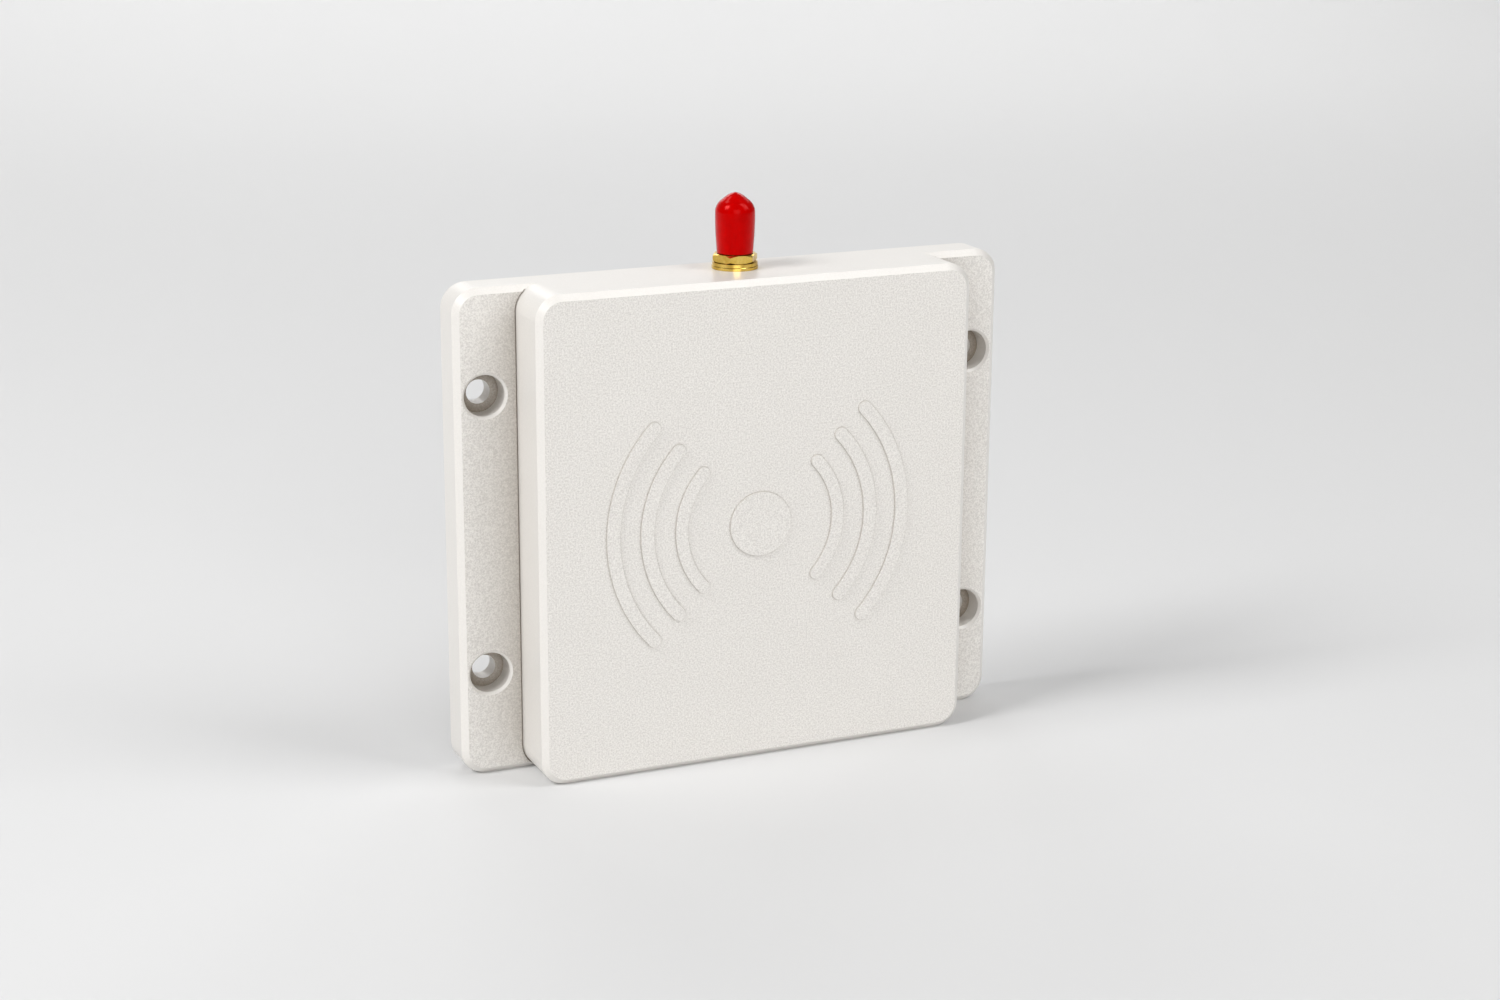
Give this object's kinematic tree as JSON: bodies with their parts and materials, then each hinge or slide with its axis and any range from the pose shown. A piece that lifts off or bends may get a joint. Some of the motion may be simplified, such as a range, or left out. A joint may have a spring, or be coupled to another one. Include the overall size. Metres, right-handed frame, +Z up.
{
  "type": "flat panel antenna",
  "caption": "Flat square panel antenna in a moulded box with two drilled mounting flanges, a coax socket on its top edge and a pull-off dust cap.",
  "frame": {"origin": "under the middle of the outer box, on the surface that the panel stands on", "axes": "+Z up, +X along the panel's width, the panel's front faces -Y and its mounting face +Y"},
  "size_m": [0.117, 0.0204, 0.113],
  "materials": {
    "housing_plastic": "fine moulded grain, satin",
    "cover_plastic": "fine moulded grain, satin",
    "gasket_rubber": "matte",
    "screw_steel": "zinc plated",
    "aluminium_sheet": "rolled, satin",
    "brass_sheet": "rolled, satin",
    "nylon": "natural, satin",
    "ptfe": "white, satin",
    "solder": "bright",
    "cable_jacket": "extruded, glossy",
    "gold_plating": "gold plated, polished",
    "cap_vinyl": "dipped, glossy"
  },
  "bodies": {
    "panel": {"front_housing": "housing_plastic", "back_cover": "cover_plastic", "back_gasket": "gasket_rubber", "cover_screws": "screw_steel", "ground_plane": "aluminium_sheet", "ground_plane_screws": "screw_steel", "patch_plate": "brass_sheet", "patch_spacers": "nylon", "patch_screws": "nylon", "patch_nuts": "nylon", "centre_rivet": "brass_sheet", "feed_pin": "gold_plating", "feed_insulator": "ptfe", "patch_solder": "solder", "coax_cable": "cable_jacket", "cable_core": "ptfe", "braid_solder": "solder", "cable_clip": "nylon", "crimp_ferrule": "gold_plating", "connector_body": "gold_plating", "connector_insulator": "ptfe", "centre_contact": "gold_plating", "connector_o_ring": "gasket_rubber", "flat_washer": "gold_plating", "lock_washer": "gold_plating", "hex_nut": "gold_plating"},
    "cap": {"dust_cap": "cap_vinyl"}
  },
  "joints": [
    {"name": "cap_pull", "type": "slide", "parent": "panel", "child": "cap", "axis": [0, 0, 1], "range_m": [0, 0.015]}
  ]
}
